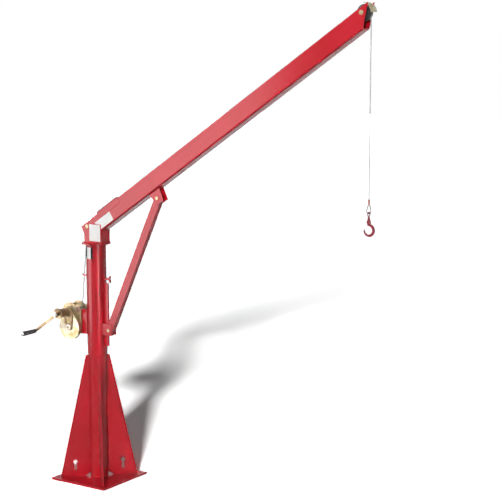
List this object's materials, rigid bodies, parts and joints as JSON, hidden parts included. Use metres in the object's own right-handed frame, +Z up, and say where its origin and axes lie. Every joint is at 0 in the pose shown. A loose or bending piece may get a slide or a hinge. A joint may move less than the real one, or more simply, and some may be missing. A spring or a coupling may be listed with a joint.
{
  "type": "davit crane",
  "caption": "Bolted-down davit crane with a turning mast, raised channel boom, strut, crank winch, rope and latched lifting hook.",
  "frame": {"origin": "middle of the base plate's flat underside, on the mast's turning axis", "axes": "+X along the boom towards the hook, +Y away from the crank side, +Z up"},
  "size_m": [2.1179, 0.458, 2.6515],
  "materials": {
    "red_paint": "gloss powder coat",
    "hook_red": "satin paint",
    "zinc_plate": "yellow zinc plating",
    "bright_steel": "bright zinc plating",
    "dark_steel": "dark machined",
    "wire_rope": "galvanised wire",
    "copper_sleeve": "pressed copper",
    "black_grip": "matte"
  },
  "bodies": {
    "base": {"base_plate": "red_paint", "base_post": "red_paint", "gusset_near_front": "red_paint", "gusset_far_front": "red_paint", "gusset_far_rear": "red_paint", "gusset_near_rear": "red_paint", "bearing_collar": "red_paint"},
    "drum": {"rope_drum": "zinc_plate", "rope_coil": "wire_rope", "drum_gear": "zinc_plate"},
    "crank": {"pinion_shaft": "zinc_plate", "brake_disc": "zinc_plate", "crank_arm": "zinc_plate"},
    "grip": {"crank_grip": "black_grip"},
    "head_wheel": {"head_sheave": "bright_steel"},
    "tip_wheel": {"tip_sheave": "dark_steel"},
    "hook_eye": {"hook_bail": "hook_red"},
    "hook": {"lifting_hook": "hook_red"},
    "latch": {"hook_latch": "bright_steel"},
    "mast": {"mast_tube": "red_paint", "mast_flange": "red_paint", "neck_plate_near": "red_paint", "neck_plate_far": "red_paint", "neck_web": "red_paint", "boom": "red_paint", "boom_cover": "red_paint", "strut": "red_paint", "strut_lug_near": "red_paint", "strut_lug_far": "red_paint", "boom_bracket": "red_paint", "front_rail": "red_paint", "rope_cleat": "red_paint", "stow_hook": "red_paint", "winch_mount": "red_paint", "winch_frame": "zinc_plate", "gear_cover": "zinc_plate", "shaft_support": "zinc_plate", "rope_guard": "zinc_plate", "head_sheave_pin": "bright_steel", "tip_sheave_pin": "bright_steel", "strut_foot_pin": "bright_steel", "strut_head_pin": "bright_steel", "hoist_rope": "wire_rope", "rope_eye": "wire_rope", "rope_ferrule": "copper_sleeve"}
  },
  "joints": [
    {"name": "mast_slew", "type": "hinge", "parent": "base", "child": "mast", "pos_m": [0, 0, 0.731], "axis": [0, 0, 1], "continuous": true},
    {"name": "drum_turn", "type": "hinge", "parent": "mast", "child": "drum", "pos_m": [-0.154, 0, 0.869], "axis": [0, -1, 0], "continuous": true},
    {"name": "crank_turn", "type": "hinge", "parent": "mast", "child": "crank", "pos_m": [-0.168, 0, 0.956], "axis": [0, -1, 0], "continuous": true},
    {"name": "grip_spin", "type": "hinge", "parent": "crank", "child": "grip", "pos_m": [-0.32853, -0.21, 0.84233], "axis": [0, -1, 0], "continuous": true},
    {"name": "head_sheave_turn", "type": "hinge", "parent": "mast", "child": "head_wheel", "pos_m": [-0.0285, 0, 1.45148], "axis": [0, -1, 0], "continuous": true},
    {"name": "tip_sheave_turn", "type": "hinge", "parent": "mast", "child": "tip_wheel", "pos_m": [1.70464, 0, 2.60167], "axis": [0, -1, 0], "continuous": true},
    {"name": "hook_swing", "type": "hinge", "parent": "mast", "child": "hook_eye", "pos_m": [1.73864, 0, 1.6378], "axis": [0, -1, 0], "range_deg": [-40, 40]},
    {"name": "hook_swivel", "type": "hinge", "parent": "hook_eye", "child": "hook", "pos_m": [1.73864, 0, 1.585], "axis": [0, 0, 1], "continuous": true},
    {"name": "latch_swing", "type": "hinge", "parent": "hook", "child": "latch", "pos_m": [1.73264, 0, 1.5725], "axis": [0, -1, 0], "range_deg": [0, 30], "stiffness_Nm_per_rad": 0.02, "springref_deg": -28.65}
  ],
  "couplings": [
    {"joint": "crank_turn", "follows": "drum_turn", "ratio": -2.6667},
    {"joint": "head_sheave_turn", "follows": "drum_turn", "ratio": -1.0588},
    {"joint": "tip_sheave_turn", "follows": "drum_turn", "ratio": -1.0588}
  ]
}
